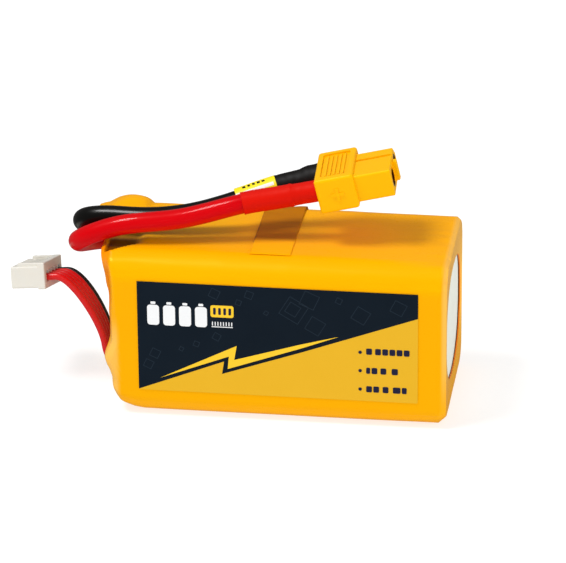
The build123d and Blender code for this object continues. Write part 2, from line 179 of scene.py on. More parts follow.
def tape_material():
    """Tape that has the film's colour at its front and is brown further back, a painted shade that deepens
    the leads' shadow on it.
    """
    n = Nodes("amber_tape")
    split = n.add("ShaderNodeSeparateXYZ")
    n.link(n.place, split.inputs["Vector"])
    along = n.add("ShaderNodeMapRange", interpolation_type="SMOOTHSTEP")
    along.inputs["From Min"].default_value, along.inputs["From Max"].default_value = TAPE_SHADE
    n.link(split.outputs["Y"], along.inputs["Value"])
    streaks = n.noise(500, 3.0, (0.2, 2, 1))
    dark = n.mix(streaks, TAPE_DARK, TAPE_BROWN)
    n.set(
        Base_Color=n.mix(along.outputs["Result"], TAPE_AMBER, dark),
        Roughness=n.spread(streaks, 0.4, 0.5),
        Normal=n.bump(streaks, 0.01 * MM),
        Specular_IOR_Level=0.15,
        Specular_Tint=(1.0, 0.7, 0.1, 1.0),
    )
    return n.material


def strand_material(name, colour, other):
    """Twisted strands seen at a cut end."""
    n = Nodes(name)
    cells = n.add("ShaderNodeTexVoronoi")
    cells.inputs["Scale"].default_value = 6500
    n.link(n.place, cells.inputs["Vector"])
    n.set(
        Base_Color=n.mix(cells.outputs["Distance"], linear(*colour), linear(*other)),
        Metallic=1.0,
        Roughness=0.35,
        Normal=n.bump(cells.outputs["Distance"], 0.05 * MM),
    )
    return n.material


# plain surfaces: two display colours that they vary between, and what else each needs
PRINT = dict(roughness=0.5, bump=0.002, Specular_IOR_Level=0.1)
SURFACES = {
    "film_edge": dict(colour=(250, 130, 0), other=(235, 110, 0), roughness=0.4),
    "label_gold": dict(colour=(228, 175, 34), other=(230, 178, 38), **PRINT),
    "label_navy": dict(colour=(14, 25, 36), other=(18, 30, 41), **PRINT),
    "label_outline": dict(colour=(36, 48, 60), other=(34, 46, 58), **PRINT),
    "label_white": dict(colour=(245, 246, 246), other=(236, 238, 240), roughness=0.4, bump=0.004),
    "label_yellow": dict(colour=(255, 208, 20), other=(250, 200, 16), roughness=0.4, bump=0.004),
    "label_dark": dict(colour=(22, 24, 62), other=(28, 30, 60), roughness=0.4, bump=0.004),
    "white_card": dict(colour=(232, 234, 224), other=(224, 227, 217), roughness=0.75, scale=1500),
    "black_foam": dict(colour=(34, 34, 35), other=(24, 24, 25), roughness=0.85, bump=0.08, scale=2500),
    "bond_foam": dict(colour=(225, 225, 215), other=(212, 212, 200), roughness=0.8, bump=0.05, scale=2500),
    "tab_sealant": dict(colour=(70, 70, 72), other=(84, 84, 84), roughness=0.4),
    "board_laminate": dict(colour=(18, 92, 50), other=(24, 104, 56), roughness=0.35, bump=0.01, scale=1200),
    "copper": dict(colour=(214, 140, 96), other=(200, 120, 80), roughness=0.3, Metallic=1.0),
    "solder": dict(colour=(196, 197, 199), other=(176, 177, 180), roughness=0.28, Metallic=1.0),
    "fibre_paper": dict(colour=(214, 196, 150), other=(200, 182, 134), roughness=0.8, bump=0.05),
    "red_silicone": dict(
        colour=(198, 0, 8), other=(208, 1, 10),
        roughness=0.3, bump=0.002, scale=500, Coat_Weight=0.25, Coat_Roughness=0.08,
        Specular_IOR_Level=0.15, Specular_Tint=(1.0, 0.3, 0.3, 1.0),
    ),
    "black_silicone": dict(
        colour=(8, 8, 7), other=(13, 13, 11),
        roughness=0.3, bump=0.002, scale=500, Coat_Weight=0.15, Coat_Roughness=0.12,
        Specular_IOR_Level=0.25,
    ),
    "red_heatshrink": dict(
        colour=(206, 14, 2), other=(216, 20, 6),
        roughness=0.5, scale=700, Specular_IOR_Level=0.2,
        Specular_Tint=(1.0, 0.4, 0.3, 1.0),
    ),
    "black_heatshrink": dict(
        colour=(12, 10, 8), other=(18, 15, 13),
        roughness=0.55, scale=700, Specular_IOR_Level=0.25,
    ),
    "tag_white": dict(colour=(248, 248, 246), other=(240, 240, 238), roughness=0.4),
    "tag_black": dict(colour=(14, 14, 14), other=(22, 22, 22), roughness=0.4),
    "yellow_vinyl": dict(colour=(252, 232, 20), other=(246, 224, 16), roughness=0.35),
    "yellow_nylon": dict(
        colour=(250, 188, 0), other=(250, 182, 0),
        roughness=0.4, bump=0.006, scale=1300, Specular_IOR_Level=0.3,
        Specular_Tint=(1.0, 0.8, 0.2, 1.0),
    ),
    "gold_plate": dict(colour=(255, 206, 120), other=(244, 190, 100), roughness=0.2, Metallic=1.0),
    "red_wire": dict(colour=(206, 12, 14), other=(220, 20, 20), roughness=0.33, bump=0.008, scale=1400),
    "black_wire": dict(colour=(20, 20, 20), other=(30, 30, 30), roughness=0.33, bump=0.008, scale=1400),
    "white_nylon": dict(
        colour=(226, 223, 213), other=(218, 215, 205),
        roughness=0.42, bump=0.01, scale=1100, Subsurface_Weight=0.1,
        Subsurface_Radius=(0.0012, 0.001, 0.0008),
    ),
    "tin_plate": dict(colour=(206, 206, 203), other=(190, 190, 187), roughness=0.25, Metallic=1.0),
    "pouch_laminate": dict(
        colour=(198, 199, 202), other=(184, 185, 190),
        roughness=0.32, bump=0.05, scale=500, Metallic=1.0,
    ),
    "electrode_foil": dict(colour=(52, 52, 54), other=(42, 42, 44), roughness=0.6),
    "tab_aluminium": dict(colour=(215, 216, 218), other=(205, 206, 208), roughness=0.3, Metallic=1.0),
    "tab_nickel": dict(colour=(196, 190, 178), other=(184, 178, 166), roughness=0.3, Metallic=1.0),
}


def build_materials():
    made = {name: surface(name, **values) for name, values in SURFACES.items()}
    made["yellow_film"] = film_material()
    made["amber_tape"] = tape_material()
    made["copper_strand"] = strand_material("copper_strand", (190, 150, 120), (220, 190, 160))
    return made


MATERIALS = build_materials()


def dress_cad_nodes():
    """Gives every CAD node the procedural material of its slot."""
    for part in frame["record"]["subparts"]:
        node = frame["nodes"][part["node"]]
        slot_name = part["material_slot"]
        material = MATERIALS["label_gold" if slot_name == "printed_label" else slot_name]
        node.data.materials.clear()
        node.data.materials.append(material)


# ---------------- mesh helpers

def new_object(name, vertices, faces, materials, soft=True):
    """A mesh object with soft or flat shading; the rims of its caps stay crisp."""
    mesh = bpy.data.meshes.new(name)
    mesh.from_pydata([tuple(v) for v in vertices], [], faces)
    for material in materials:
        mesh.materials.append(MATERIALS[material])
    if soft:
        mesh.polygons.foreach_set("use_smooth", [True] * len(mesh.polygons))
    mesh.update()
    crisp = {edge for face in mesh.polygons if face.loop_total > 4 for edge in face.edge_keys}
    for edge in mesh.edges:
        edge.use_edge_sharp = edge.key in crisp
    piece = bpy.data.objects.new(name, mesh)
    bpy.context.scene.collection.objects.link(piece)
    return piece


def grid_faces(rows, columns, closed):
    """Quads of a grid of rows x columns points; closed joins the last column to the first."""
    faces = []
    for i in range(rows - 1):
        for j in range(columns if closed else columns - 1):
            k = (j + 1) % columns
            here, above = i * columns, (i + 1) * columns
            faces.append((here + j, here + k, above + k, above + j))
    return faces


def node_points(name):
    return [v.co.copy() for v in frame["nodes"][name].data.vertices]


def relaxed(path, rounds):
    """A path with small unevenness smoothed away; its ends stay."""
    for _ in range(rounds):
        inner = [(path[n - 1] + 2 * path[n] + path[n + 1]) / 4 for n in range(1, len(path) - 1)]
        path = [path[0]] + inner + [path[-1]]
    return path


def resampled(path, step):
    """Points an even distance apart on a Catmull-Rom curve through the path."""
    padded = [2 * path[0] - path[1]] + path + [2 * path[-1] - path[-2]]
    fine = []
    for a, b, c, d in zip(padded, padded[1:], padded[2:], padded[3:]):
        for n in range(8):
            t = n / 8
            fine.append(
                0.5 * ((2 * b) + (c - a) * t + (2 * a - 5 * b + 4 * c - d) * t * t
                       + (3 * b - a - 3 * c + d) * t ** 3)
            )
    fine.append(path[-1])
    total = sum((q - p).length for p, q in zip(fine, fine[1:]))
    count = max(2, round(total / step))
    spaced, walked, target = [fine[0]], 0.0, total / count
    for p, q in zip(fine, fine[1:]):
        length = (q - p).length
        while walked + length >= target * len(spaced) and len(spaced) < count:
            share = (target * len(spaced) - walked) / length
            spaced.append(p.lerp(q, share))
        walked += length
    spaced.append(fine[-1])
    return spaced


def tube_frames(path):
    """Tangent and two normals at each point, carried along without twist."""
    frames = []
    normal = None
    for n in range(len(path)):
        tangent = (path[min(n + 1, len(path) - 1)] - path[max(n - 1, 0)]).normalized()
        if normal is None:
            normal = tangent.cross(Vector((0, 1, 0))).normalized()
        normal = (normal - tangent * normal.dot(tangent)).normalized()
        frames.append((tangent, normal, tangent.cross(normal)))
    return frames


def tube_mesh(path, radius, segments, capped=True):
    """Vertices and faces of a tube; radius(share, angle) gives its size."""
    vertices = []
    last = len(path) - 1
    for n, (p, (_, normal, side)) in enumerate(zip(path, tube_frames(path))):
        for k in range(segments):
            angle = 2 * math.pi * k / segments
            r = radius(n / last, angle)
            vertices.append(p + (normal * math.cos(angle) + side * math.sin(angle)) * r)
    faces = grid_faces(len(path), segments, True)
    if capped:
        start = last * segments
        faces.append(tuple(reversed(range(segments))))
        faces.append(tuple(range(start, start + segments)))
    return vertices, faces


def thicken(piece, amount, rim=0):
    """Gives a sheet a wall on its inner side; rim is the number of its edge's material."""
    wall = piece.modifiers.new("wall", "SOLIDIFY")
    wall.thickness = amount
    wall.offset = -1
    wall.material_offset_rim = rim
    bpy.context.view_layer.update()
    evaluated = piece.evaluated_get(bpy.context.evaluated_depsgraph_get())
    mesh = bpy.data.meshes.new_from_object(evaluated)
    piece.modifiers.clear()
    piece.data = mesh


def settle(piece, body, slot, *nodes):
    """Puts a piece on its body, in place of its CAD nodes; its slot argument is not used."""
    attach(piece, body)
    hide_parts(*nodes)


def smooth(t):
    """0 below 0, 1 above 1 and an even S between."""
    t = max(0.0, min(1.0, t))
    return t * t * (3 - 2 * t)


def bell(distance, width):
    return math.exp(-(distance / width) ** 2)


# ---------------- film sleeve

# all sizes in this section are millimetres until a point is made
FILM_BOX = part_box("shrink_sleeve")
FILM = 0.3
CORNER = 6.5
FOOT_CORNER = 4.8

# how finely the film is divided
SIDE_STEPS = 30
TOP_STEPS = 40
CORNER_STEPS = 26
BODY_RINGS = 120
BEND_RINGS = 14
LIP_RINGS = 12

# the oval openings at the two ends, and what shows in them
OPENING_MIDDLE = 19.2
OPENING_HALF_HEIGHT = 13.4
OPENING_HALF_WIDTH = 12.8
OPENING_POWER = 2.9
LEAD_NOTCH = (15.3, 15.4)
LEAD_NOTCH_POWER = 6.0
RIGHT_OPENING_BACK = 17.1
CARD_FACE = 37.65
INSULATOR_FOOT = 8.6

# where the film ends at each side of the pack
PACK_END = 38.5
LEFT_FOLD = 37.0
LEFT_RIM = 37.35
RIGHT_FOLD = 38.3
RIGHT_RIM = 38.4
RIGHT_LIP = 38.05

# the ridge that the ribbon's exit lifts in the left end, and the slopes above and below it
RIBBON_RIDGE = 1.75
RIBBON_RIDGE_Z = 13.3
RIDGE_ABOVE = 3.9
RIDGE_BELOW = 6.6

# the hump over the black lead
HOOD_X = -36.8
HOOD_HEIGHT = 2.15
HOOD_RIGHT = 4.4
HOOD_LEFT = 5.6

# below this height the film follows its underside
FOOT_HEIGHT = 11.5


def film_outline():
    """(y, z, normal y, normal z) round the film's rounded rectangle."""
    low, high = FILM_BOX
    half, bottom, top = high.y / MM, low.z / MM, high.z / MM
    radius, foot = CORNER, FOOT_CORNER
    corners = [
        (half - radius, bottom + radius, radius, SIDE_STEPS),
        (half - radius, top - radius, radius, TOP_STEPS),
        (radius - half, top - radius, radius, SIDE_STEPS),
        (foot - half, bottom + foot, foot, TOP_STEPS),
    ]
    points = []
    for n, (y, z, size, steps) in enumerate(corners):
        for k in range(CORNER_STEPS + 1):
            angle = math.radians(90 * (n - 1 + k / CORNER_STEPS))
            ny, nz = math.cos(angle), math.sin(angle)
            points.append((y + ny * size, z + nz * size, ny, nz))
        next_y, next_z, next_size, _ = corners[(n + 1) % 4]
        here = (y + ny * size, z + nz * size)
        there = (next_y + ny * next_size, next_z + nz * next_size)
        for k in range(1, steps):
            share = k / steps
            between = [a + (b - a) * share for a, b in zip(here, there)]
            points.append((*between, ny, nz))
    return points


def opening_edge(y, z, side):
    """Where the ray from the opening's middle towards (y, z) meets its oval edge."""
    dy, dz = y, z - OPENING_MIDDLE
    width, height, power = OPENING_HALF_WIDTH, OPENING_HALF_HEIGHT, OPENING_POWER
    if side < 0 and dy > 0 and dz > 0:
        width, height, power = *LEAD_NOTCH, LEAD_NOTCH_POWER
    if side > 0:
        width, power = (RIGHT_OPENING_BACK, 2.6) if dy > 0 else (width + 0.6, 2.3)
        height -= 0.4 if dz > 0 else 0.0
    reach = (abs(dy / width) ** power + abs(dz / height) ** power) ** (-1 / power)
    return dy * reach, OPENING_MIDDLE + dz * reach


def hood_weight(y, z):
    """1 round the black lead's exit at the left end's upper back corner."""
    return bell(y - 12.2, 5.4) * smooth((z - 27) / 8) * smooth((y + 1) / 6)


def mixed(ny, nz, front, back, top, bottom):
    """A value that belongs to each of the four sides, mixed by which way the film faces."""
    sides = max(0.0, -ny) ** 2 * front + max(0.0, ny) ** 2 * back
    return sides + max(0.0, nz) ** 2 * top + max(0.0, -nz) ** 2 * bottom


def ribbon_ridge(z):
    """How far the left end stands out over the ribbon's exit, with a straight slope each way."""
    above = 1 - (z - RIBBON_RIDGE_Z) / RIDGE_ABOVE
    below = 1 - (RIBBON_RIDGE_Z - z) / RIDGE_BELOW
    return RIBBON_RIDGE * max(0.0, min(above, below, 1.0))


def left_reach(y, z):
    """How far left the film's flared end stands at a place on its rim."""
    flare = 2.15 * max(0.0, min(1.0, (z - 26) / 12.3)) ** 1.5
    back = 1.2 * smooth((y + 12) / 18) * smooth((z - 33) / 4)
    lower = 0.45 * smooth((z - 21) / 4)
    ridge = ribbon_ridge(z) * smooth((-y - 9) / 4)
    return LEFT_RIM + lower + flare + back + ridge


def left_end(y, z, ny, nz):
    """Fold, outermost reach, their insets and the fold's width at the left end."""
    flare = smooth((z - 22) / 8)
    hood = hood_weight(y, z)
    last = mixed(ny, nz, 2.4 + 2.5 * flare, 3.0, 0.7, 3.0)
    reach = left_reach(y - ny * last, z - nz * last) + hood * 3.5
    front = LEFT_FOLD - 0.35 * flare + ribbon_ridge(z)
    top = LEFT_FOLD + 1.7 + 0.8 * smooth((y + 12) / 18)
    fold = mixed(ny, nz, front, LEFT_FOLD + 1.0, top, LEFT_FOLD + 0.2) + hood * 3.8
    first = mixed(ny, nz, 1.2 - 0.9 * flare, 1.8, 0.25, 1.5)
    width = mixed(ny, nz, 1.45 - 0.9 * flare, 2.2, 0.9, 1.8) + 2.0 * hood
    return fold, max(reach, fold + 0.1), first, last, width


def right_end(y, z, ny, nz):
    """The same for the right end, where all insets follow from one size."""
    size = mixed(ny, nz, 1.3, 0.9, 0.8, 1.8)
    return RIGHT_FOLD, RIGHT_RIM, size * 0.9, size * 1.3, size


def fold_line(fold, reach, first, last, width):
    """(outward, inset) along a fold: a bevel, then the end wall, with the corners eased."""
    corners = [(fold - width, 0.0), (fold, first), (reach, last)]
    points = []
    for (x0, i0), (x1, i1) in zip(corners, corners[1:]):
        for k in range(BEND_RINGS // 2):
            t = k / (BEND_RINGS // 2)
            points.append((x0 + (x1 - x0) * t, i0 + (i1 - i0) * t))
    points.append(corners[-1])
    for _ in range(3):
        eased = [points[0]]
        for k in range(1, len(points) - 1):
            around = [points[k - 1], points[k], points[k], points[k + 1]]
            eased.append(tuple(sum(p[n] for p in around) / 4 for n in (0, 1)))
        points = eased + [points[-1]]
    return points[1:]


def end_profile(y, z, ny, nz, side):
    """(outward x, y, z) from the body's edge round the fold and along the lip to the opening."""
    fold, reach, first, last, width = (left_end if side < 0 else right_end)(y, z, ny, nz)
    hood = hood_weight(y, z) if side < 0 else 0.0
    line = fold_line(fold, reach, first, last, width)
    points = [(outward, y - ny * inset, z - nz * inset) for outward, inset in line]
    rim_y, rim_z = y - ny * last, z - nz * last
    edge_y, edge_z = opening_edge(y, z, side)
    edge_x = RIGHT_LIP if side > 0 else LEFT_FOLD + 0.9 + 0.9 * smooth((z - 28) / 6)
    edge_x += hood * (reach - 1.2 - edge_x)
    edge_y += hood * (rim_y - ny * 1.5 - edge_y)
    edge_z += hood * (rim_z - 3.0 - edge_z)
    for k in range(1, LIP_RINGS + 1):
        t = k / LIP_RINGS
        sag = 0.25 * math.sin(math.pi * t) * (1 - hood)
        points.append((
            reach + (edge_x - reach) * smooth(t) + sag * (side < 0),
            rim_y + (edge_y - rim_y) * t,
            rim_z + (edge_z - rim_z) * t,
        ))
    return points, fold - width


def lead_dents(x, y, z):
    """How far the leads press the top of the film down."""
    over = smooth((z - 33) / 4)
    black = 0.25 * bell(y + 3.0, 2.4) * smooth((-x - 34) / 3.5)
    back = 0.5 * smooth((y - 13.4) / 2.5) * smooth((-17 - x) / 8) * smooth((x + 34) / 3)
    return over * (black + back) + 0.75 * crease(x, y, z)


def crease(x, y, z):
    """0 to 1 inside the hollow where the film is drawn in under the red lead."""
    front = -14.1 + 4.2 * smooth((x + 38.6) / 8.2)
    inside = smooth((y - front) / 0.7) * smooth((-1.5 - y) / 2.5)
    along = smooth((x + 39.3) / 0.9) * smooth((-30.6 - x) / 2.2)
    return inside * along * smooth((z - 35) / 2)


def film_relief(x, y, z, ny):
    """How far the shrunk film stands off its ideal block along its normal."""
    p = Vector((x, y, z))
    near_end = smooth(1 - (PACK_END - abs(x)) / 12)
    broad = abs(noise.noise(p * 0.05)) * 0.16
    along = abs(noise.noise(Vector((x * 0.025, y * 0.45, z * 0.45)))) * 0.05
    pleats = noise.noise(Vector((x * 0.10, y * 0.40, z * 0.40 + 7))) * 0.22 * near_end
    amount = pleats - broad - along - 0.08 * near_end
    if -ny > 0.95:
        amount = min(amount, 0.0) * 0.1
    seam = 0.07 * bell(z - 34.6 - 0.012 * x, 0.45) * smooth((-ny - 0.3) / 0.3)
    seam *= smooth((x + 31) / 3) * smooth((-4 - x) / 8)
    return amount + seam


def pucker(x, y, z):
    """Small dimples in the film at the right end's upper front corner."""
    spots = ((38.0, -16.6, 35.4, 0.55), (37.6, -15.2, 36.9, 0.45), (38.2, -9.5, 38.0, 0.4))
    depth = 0.0
    for sx, sy, sz, size in spots:
        away = math.sqrt((x - sx) ** 2 + (y - sy) ** 2 + (z - sz) ** 2)
        depth += 0.45 * bell(away, size)
    return depth


def hood_lift(x, y, z):
    """The hump over the black lead: a slope on the left, steep on the right."""
    along = x - HOOD_X
    if along > 0:
        shape = math.sqrt(max(0.0, 1 - (along / HOOD_RIGHT) ** 2))
    else:
        shape = math.cos(min(1.0, -along / HOOD_LEFT) * math.pi / 2)
    return HOOD_HEIGHT * shape * bell(y - 11.9, 5.0) * smooth((z - 30) / 7)


# height of the film's underside near the left end, as (x, z)
UNDERSIDE = [
    (-37.9, 6.0), (-37.2, 3.6), (-36.3, 2.3), (-34.7, 1.2), (-32.4, 0.35), (-30.2, 0.0),
]


def underside(x):
    """Height of the film's underside at x, flat from where the table ends."""
    if x <= UNDERSIDE[0][0]:
        return UNDERSIDE[0][1]
    for (x0, z0), (x1, z1) in zip(UNDERSIDE, UNDERSIDE[1:]):
        if x <= x1:
            return z0 + (z1 - z0) * (x - x0) / (x1 - x0)
    return 0.0


def film_point(x, y, z, ny, nz):
    """A place on the ideal block moved to where the shrunk film really is."""
    amount = film_relief(x, y, z, ny) - pucker(x, y, z)
    lift = hood_lift(x, y, z) - lead_dents(x, y, z)
    low = underside(x)
    z = z + nz * amount + lift
    if z < FOOT_HEIGHT:
        z = low + z * (FOOT_HEIGHT - low) / FOOT_HEIGHT
    return Vector((x, y + ny * amount, z)) * MM


def film_columns():
    """One line of points for every place round the outline, from the left opening to the right."""
    columns = []
    for y, z, ny, nz in film_outline():
        left, left_start = end_profile(y, z, ny, nz, -1)
        right, right_start = end_profile(y, z, ny, nz, 1)
        line = [(-x, py, pz) for x, py, pz in reversed(left)]
        span = left_start + right_start
        for k in range(BODY_RINGS + 1):
            line.append((-left_start + span * k / BODY_RINGS, y, z))
        line += right
        columns.append([film_point(px, py, pz, ny, nz) for px, py, pz in line])
    return columns


# colours painted on the film for light: shade in the hollow under the red lead and on the left end wall,
# and a pale sheen on the left bevel and the right end wall
HOLLOW_PAINTED_SHADE = (0.10, 0.022, 0.0)
WALL_PAINTED_SHADE = (0.86, 0.25, 0.0)
PALE_PAINTED_SHEEN = (0.95, 0.52, 0.10)


def film_painted_light(x, y, z):
    """Colour and amount of painted light: brown painted shade in the hollow, orange painted shade on the
    left end wall, and a pale painted sheen on the left bevel and the right end wall.
    """
    # painted shade: brown in the hollow under the red lead
    hollow = crease(x, y, z) * smooth((-2 - y) / 6) ** 0.4 * smooth((-29.5 - x) / 4)
    # painted shade: deeper orange on the left end wall, which faces away from the light
    wall = smooth((-37.0 - x) / 0.7) * smooth((z - 18) / 5) * (1 - smooth((y + 4) / 6))
    # painted sheen: pale on the left bevel and the right end wall
    bevel = smooth((-35.1 - x) / 1.0) * smooth((-15.5 - y) / 1.5) * smooth((24 - z) / 6)
    right_wall = smooth((x - 37.1) / 0.7) * smooth((z - 2) / 16)
    colour, amount = Vector(PALE_PAINTED_SHEEN), max(0.85 * bevel, 0.75 * right_wall)
    for tone, share in ((WALL_PAINTED_SHADE, 0.9 * wall), (HOLLOW_PAINTED_SHADE, 0.9 * hollow)):
        under = amount * (1 - share)
        if share > 0:
            colour = (Vector(tone) * share + colour * under) / (share + under)
        amount = share + under
    return (*colour, amount)


def paint_film(film):
    # stores the painted shade and sheen on the film's points
    painted_light = film.data.attributes.new("painted_light", "FLOAT_COLOR", "POINT")
    for vertex, value in zip(film.data.vertices, painted_light.data):
        value.color = film_painted_light(*(vertex.co / MM))


def build_film():
    columns = film_columns()
    rings = list(zip(*columns))
    vertices = [point for ring in rings for point in ring]
    faces = grid_faces(len(rings), len(columns), True)
    film = new_object("film_sleeve", vertices, faces, ["yellow_film", "film_edge"])
    thicken(film, FILM * MM, rim=1)
    paint_film(film)
    settle(film, "pack", "yellow_film", "shrink_sleeve")


SHEET_STEPS = 24
SHEET_ROUNDING = 0.12
SHEET_MARGIN = 0.53


def build_sheet(name, node, material, face, bow, y_span, z_span):
    """A stiff sheet across one end of the pack, bowed a little by the film round it."""
    low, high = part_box(node)
    steps = SHEET_STEPS
    vertices = []
    for i in range(steps + 1):
        for j in range(steps + 1):
            u, v = 2 * j / steps - 1, 2 * i / steps - 1
            round_u = u * math.sqrt(1 - SHEET_ROUNDING * v * v)
            round_v = v * math.sqrt(1 - SHEET_ROUNDING * u * u)
            x = face - bow * (u * u + v * v) / 2
            y = (y_span[0] + y_span[1]) / 2 + round_u * (y_span[1] - y_span[0]) * SHEET_MARGIN
            z = (z_span[0] + z_span[1]) / 2 + round_v * (z_span[1] - z_span[0]) * SHEET_MARGIN
            vertices.append(Vector((x, y, z)) * MM)
    faces = grid_faces(steps + 1, steps + 1, False)
    sheet = new_object(name, vertices, faces, [material])
    thicken(sheet, high.x - low.x)
    settle(sheet, "pack", material, node)


def build_end_sheets():
    """The white card behind the right opening and the insulator behind the left one."""
    low, high = (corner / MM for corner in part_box("end_card"))
    build_sheet(
        "stiff_card", "end_card", "white_card", CARD_FACE, 0.25, (low.y, high.y), (low.z, high.z),
    )
    low, high = (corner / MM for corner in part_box("tab_insulator"))
    build_sheet(
        "insulator_sheet", "tab_insulator", "fibre_paper", high.x, -0.1,
        (low.y, high.y), (INSULATOR_FOOT, high.z),
    )


# ---------------- printed label

# millimetres: the label's front face, and how far each layer of ink stands in front of the last
LABEL_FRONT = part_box("face_label")[0].y / MM
INK = 0.015
INK_BACKING = 0.01
OUTLINE_WIDTH = 0.13


def slab(outline, front, depth):
    """A flat shape in the XZ plane as a thin solid; outline runs anticlockwise seen from -Y."""
    count = len(outline)
    vertices = [Vector((x, front, z)) * MM for x, z in outline]
    vertices += [Vector((x, front + depth, z)) * MM for x, z in outline]
    faces = [tuple(range(count)), tuple(reversed(range(count, 2 * count)))]
    for k in range(count):
        j = (k + 1) % count
        faces.append((j, k, count + k, count + j))
    return vertices, faces


def rounded(x0, x1, z0, z1, radius, steps=6):
    """Outline of a rounded rectangle."""
    points = []
    corners = [
        (x1 - radius, z0 + radius, -90),
        (x1 - radius, z1 - radius, 0),
        (x0 + radius, z1 - radius, 90),
        (x0 + radius, z0 + radius, 180),
    ]
    for x, z, start in corners:
        for k in range(steps + 1):
            angle = math.radians(start + 90 * k / steps)
            points.append((x + radius * math.cos(angle), z + radius * math.sin(angle)))
    return points


def turned(outline, centre, degrees):
    """An outline turned about the origin and then moved to centre."""
    c, s = math.cos(math.radians(degrees)), math.sin(math.radians(degrees))
    cx, cz = centre
    return [(cx + x * c - z * s, cz + x * s + z * c) for x, z in outline]


def printed_piece(name, shapes, material, layer):
    """All shapes of one ink as one object, layer steps in front of the label."""
    vertices, faces = [], []
    front = LABEL_FRONT - INK * layer
    for shape in shapes:
        v, f = slab(shape, front, INK * layer + INK_BACKING)
        faces += [tuple(i + len(vertices) for i in face) for face in f]
        vertices += v
    piece = new_object(name, vertices, faces, [material], soft=False)
    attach(piece, "pack")
    return piece


def frame_strip(size, width):
    """A square outline as four joined bars, centred on the origin."""
    half = size / 2
    bars = []
    for k in range(4):
        inner = half - width
        bar = [(-half, -half), (half, -half), (inner, -inner), (-inner, -inner)]
        bars.append(turned(bar, (0, 0), 90 * k))
    return bars


def outlined_squares():
    """Faint tilted squares in the dark part."""
    places = [
        (4.4, 27.8, 5.0, -31), (4.2, 28.0, 2.8, -31), (7.9, 30.4, 3.6, -24), (9.2, 24.2, 3.6, -30),
        (27.8, 29.5, 3.0, -27), (19.4, 27.3, 3.4, -30), (-13.4, 30.9, 2.2, -25), (-5.6, 31.0, 1.8, -20),
        (-13.0, 20.4, 1.7, -28), (-27.0, 15.6, 2.1, -25), (-28.5, 12.9, 2.0, -25), (-17.6, 18.4, 1.3, -20),
        (-1.8, 26.8, 1.0, -30), (-8.0, 29.0, 1.3, -20), (-21.0, 17.0, 1.0, -28), (14.5, 30.6, 1.4, -25),
    ]
    bars = []
    for x, z, size, angle in places:
        for bar in frame_strip(size, OUTLINE_WIDTH):
            bars.append(turned(bar, (x, z), angle))
    return bars


def white_marks():
    """Four battery pictograms and a row of ticks over a line."""
    cells = [-28.6, -25.0, -21.4, -17.8]
    marks = [rounded(x, x + 2.7, 22.6, 27.5, 0.7) for x in cells]
    marks += [rounded(x + 0.8, x + 1.9, 27.7, 28.3, 0.2) for x in cells]
    marks += [rounded(-14.0 + 0.62 * n, -13.78 + 0.62 * n, 23.1, 24.1, 0.1) for n in range(8)]
    marks.append(rounded(-14.1, -9.3, 22.75, 22.95, 0.1))
    return marks


def dark_marks():
    """The chip's four bars, and three rows of a dot and plain blocks."""
    marks = [rounded(-13.7 + 1.15 * n, -13.1 + 1.15 * n, 25.8, 27.5, 0.25) for n in range(4)]
    marks += [rounded(18.85, 19.65, z - 0.4, z + 0.4, 0.4) for z in (18.4, 13.9, 9.35)]
    rows = [
        (18.65, [(20.6, 1.3), (22.6, 1.3), (24.2, 1.3), (25.8, 1.3), (27.4, 1.3), (29.0, 1.3)]),
        (13.95, [(20.6, 0.9), (21.8, 1.3), (23.8, 1.3), (26.3, 1.4)]),
        (9.4, [(20.6, 1.3), (22.2, 1.3), (24.3, 1.3), (26.6, 1.7), (28.6, 1.1)]),
    ]
    marks += [rounded(x, x + width, z - 0.75, z + 0.75, 0.3) for z, row in rows for x, width in row]
    return marks


def build_label():
    low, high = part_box("face_label")
    left, right = low.x / MM, high.x / MM
    bottom, top = low.z / MM, high.z / MM
    base = printed_piece("label_sheet", [rounded(left, right, bottom, top, 0.3)], "label_gold", 0)
    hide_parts("face_label")
    dark_part = [
        (-11.9, 11.3), (5.8, 17.5), (right, 27.2), (right, top), (left, top), (left, 6.6), (-11.4, 14.4),
    ]
    printed_piece("label_dark_part", [dark_part], "label_navy", 1)
    printed_piece("label_outlines", outlined_squares(), "label_outline", 2)
    bright_line = [
        (-25.9, 9.6), (-10.3, 15.7), (-10.6, 12.6), (5.8, 18.5), (14.5, 21.9),
        (5.8, 19.5), (-9.1, 14.9), (-8.5, 18.4),
    ]
    printed_piece("label_bright_line", [bright_line], "label_yellow", 2)
    printed_piece("label_white_marks", white_marks(), "label_white", 2)
    printed_piece("label_chip", [rounded(-14.3, -9.1, 25.2, 28.1, 0.5)], "label_yellow", 2)
    printed_piece("label_dark_marks", dark_marks(), "label_dark", 3)


# ---------------- tape band

TAPE_FRONT = -13.2
TAPE_BACK = 17.9
TAPE_THICKNESS = 0.08
TAPE_GAP = 0.09
TAPE_LIFT = 0.55


